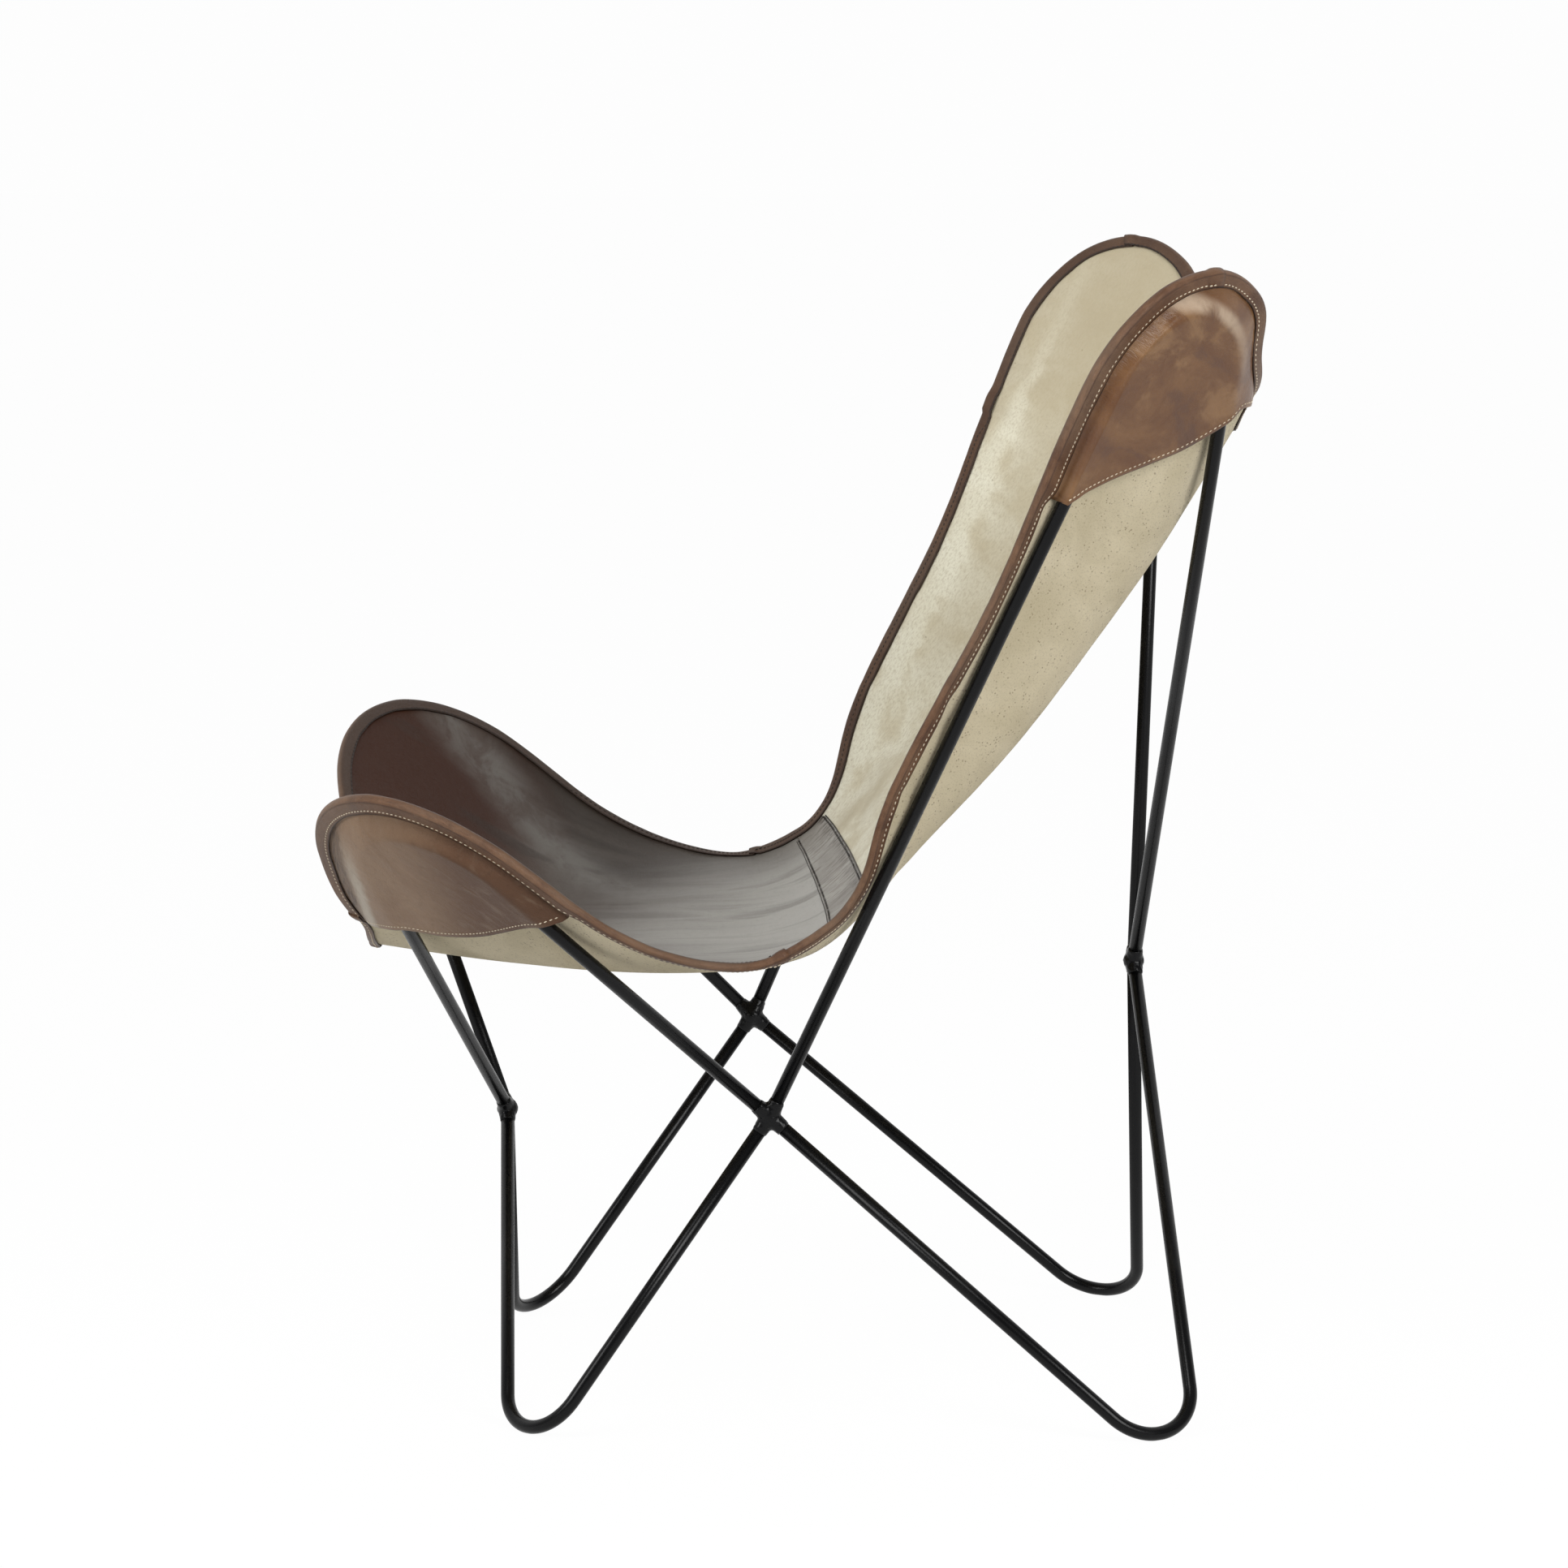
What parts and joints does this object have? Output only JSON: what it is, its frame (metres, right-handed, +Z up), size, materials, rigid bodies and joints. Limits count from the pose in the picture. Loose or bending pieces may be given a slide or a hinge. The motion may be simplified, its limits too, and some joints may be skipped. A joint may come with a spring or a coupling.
{
  "type": "butterfly sling chair",
  "caption": "Lounge chair with a leather and canvas sling hung by corner pockets on a welded frame of bent steel rods.",
  "frame": {"origin": "on the floor, at the middle of the chair's width and depth", "axes": "+Z up, -Y is the front that a sitter faces, +X is the sitter's left, and the plane X = 0 is the plane of symmetry"},
  "size_m": [0.7598, 0.7476, 0.9275],
  "materials": {
    "frame_coating": "black semi-gloss powder coating, a little rubbed at the bends",
    "outer_canvas": "unbleached speckled canvas with soft creases",
    "inner_canvas": "pale mottled canvas with a brushed face",
    "seat_leather": "dark brown smooth leather, worn to a soft sheen",
    "band_leather": "brown leather band with fine wrinkles between double seams",
    "pocket_leather": "brown mottled leather, glossy where it swells over the rod",
    "binding_leather": "reddish brown leather strip, folded and sewn, with worn edges"
  },
  "bodies": {
    "root": {"front_right_foot_rod": "frame_coating", "rear_right_foot_rod": "frame_coating", "front_right_ear_rod": "frame_coating", "rear_right_ear_rod": "frame_coating", "front_left_foot_rod": "frame_coating", "rear_left_foot_rod": "frame_coating", "front_left_ear_rod": "frame_coating", "rear_left_ear_rod": "frame_coating", "right_side_weld": "frame_coating", "left_side_weld": "frame_coating", "front_centre_weld": "frame_coating", "rear_centre_weld": "frame_coating", "outer_canvas": "outer_canvas", "seat_leather": "seat_leather", "lap_band": "band_leather", "back_canvas": "inner_canvas", "front_edge_binding": "binding_leather", "right_seat_binding": "binding_leather", "right_back_binding": "binding_leather", "rear_edge_binding": "binding_leather", "left_back_binding": "binding_leather", "left_seat_binding": "binding_leather", "front_right_pocket": "pocket_leather", "rear_right_pocket": "pocket_leather", "front_left_pocket": "pocket_leather", "rear_left_pocket": "pocket_leather"}
  },
  "joints": []
}
